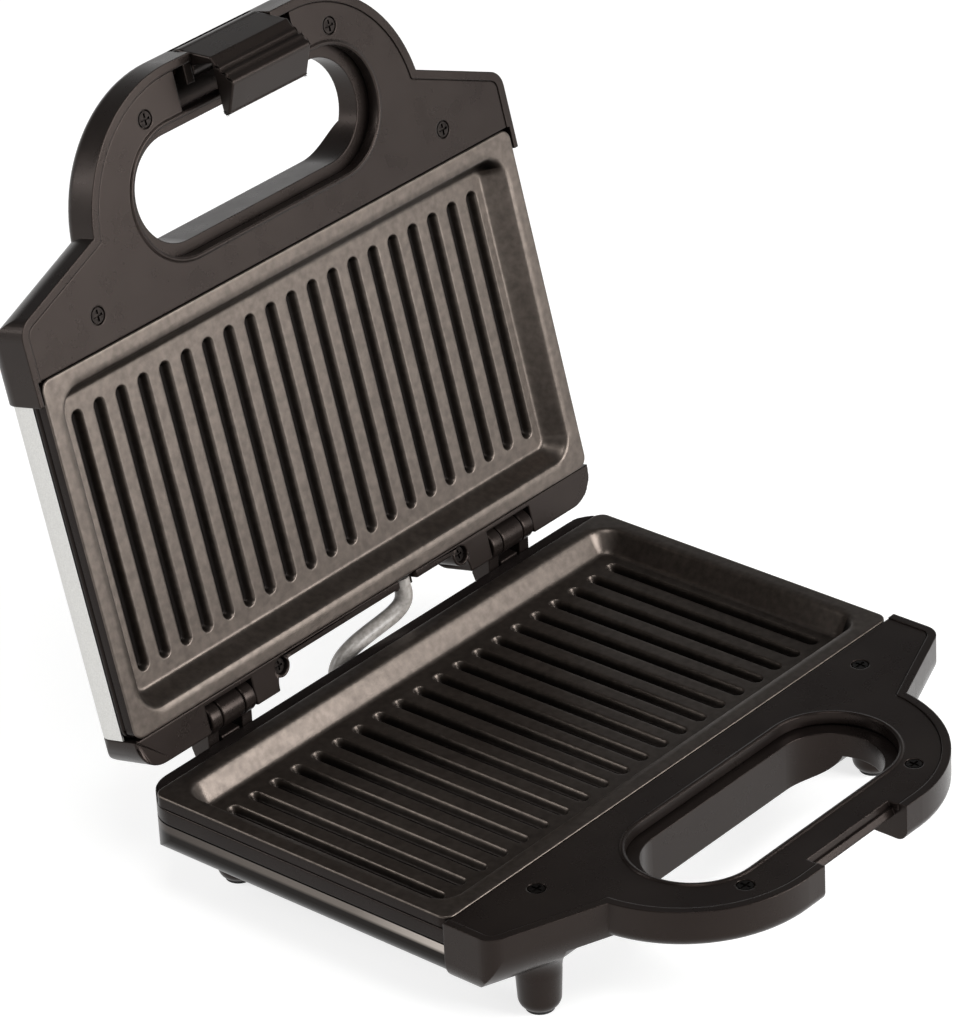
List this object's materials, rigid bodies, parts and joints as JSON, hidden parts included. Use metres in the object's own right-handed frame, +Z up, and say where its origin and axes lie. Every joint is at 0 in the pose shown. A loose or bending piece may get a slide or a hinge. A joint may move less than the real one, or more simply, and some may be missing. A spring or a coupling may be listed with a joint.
{
  "type": "sandwich toaster",
  "caption": "Hinged electric sandwich toaster standing open: ribbed non-stick grill plates in black and steel halves, looped front handles and a swinging latch.",
  "frame": {"origin": "on the table plane under the middle of the open appliance's bounding box", "axes": "+X to the right seen from the handles, +Y to the hinge side, +Z up; the handles of the base point to -Y"},
  "size_m": [0.235, 0.2658, 0.2554],
  "materials": {
    "body_plastic": "satin moulded black plastic",
    "frame_metal": "black painted sheet",
    "steel_skin": "bright satin steel sheet",
    "grill_plate": "cast aluminium with a dark non-stick coating",
    "heater_tube": "dull heat-stained sheath",
    "zinc_steel": "plain pressed steel",
    "screw_black": "blackened steel",
    "pin_steel": "bright plated steel",
    "foot_rubber": "matte rubber",
    "terminal_white": "matte",
    "fuse_metal": "plain",
    "lead_sleeving": "smooth silvery white sleeving",
    "lens_red": "clear moulded lens",
    "lens_green": "clear moulded lens"
  },
  "bodies": {
    "base": {"lower_shell": "body_plastic", "lower_panel": "body_plastic", "lower_frame": "frame_metal", "lower_skin": "steel_skin", "lower_rear_housing": "body_plastic", "lower_plate": "grill_plate", "lower_element": "heater_tube", "lower_element_clamp": "zinc_steel", "lower_heat_shield": "zinc_steel", "lower_panel_screws": "screw_black", "leg_front_left": "body_plastic", "leg_front_right": "body_plastic", "leg_rear_left": "body_plastic", "leg_rear_right": "body_plastic", "foot_front_left": "foot_rubber", "foot_front_right": "foot_rubber", "foot_rear_left": "foot_rubber", "foot_rear_right": "foot_rubber", "hinge_pin_left": "pin_steel", "hinge_pin_right": "pin_steel", "cord_gland": "body_plastic", "terminal_block": "terminal_white", "thermal_fuse": "fuse_metal", "lead_sleeve": "lead_sleeving", "lower_lead_bush": "body_plastic"},
    "lid": {"upper_lead_bush": "body_plastic", "upper_shell": "body_plastic", "upper_panel": "body_plastic", "upper_frame": "frame_metal", "upper_skin": "steel_skin", "upper_rear_housing": "body_plastic", "upper_plate": "grill_plate", "upper_element": "heater_tube", "upper_element_clamp": "zinc_steel", "upper_heat_shield": "zinc_steel", "upper_panel_screws": "screw_black", "upper_rear_screws": "screw_black", "thermostat": "zinc_steel", "lamp_power": "lens_red", "lamp_ready": "lens_green", "latch_pin": "pin_steel"},
    "latch": {"latch": "body_plastic"}
  },
  "joints": [
    {"name": "lid_hinge", "type": "hinge", "parent": "base", "child": "lid", "pos_m": [0, 0.07684, 0.0502], "axis": [1, 0, 0], "range_deg": [0, 103.45], "deforming": ["lead_sleeve"]},
    {"name": "latch_swing", "type": "hinge", "parent": "lid", "child": "latch", "pos_m": [0, 0.12523, 0.2491], "axis": [1, 0, 0], "range_deg": [-60, 0]}
  ]
}
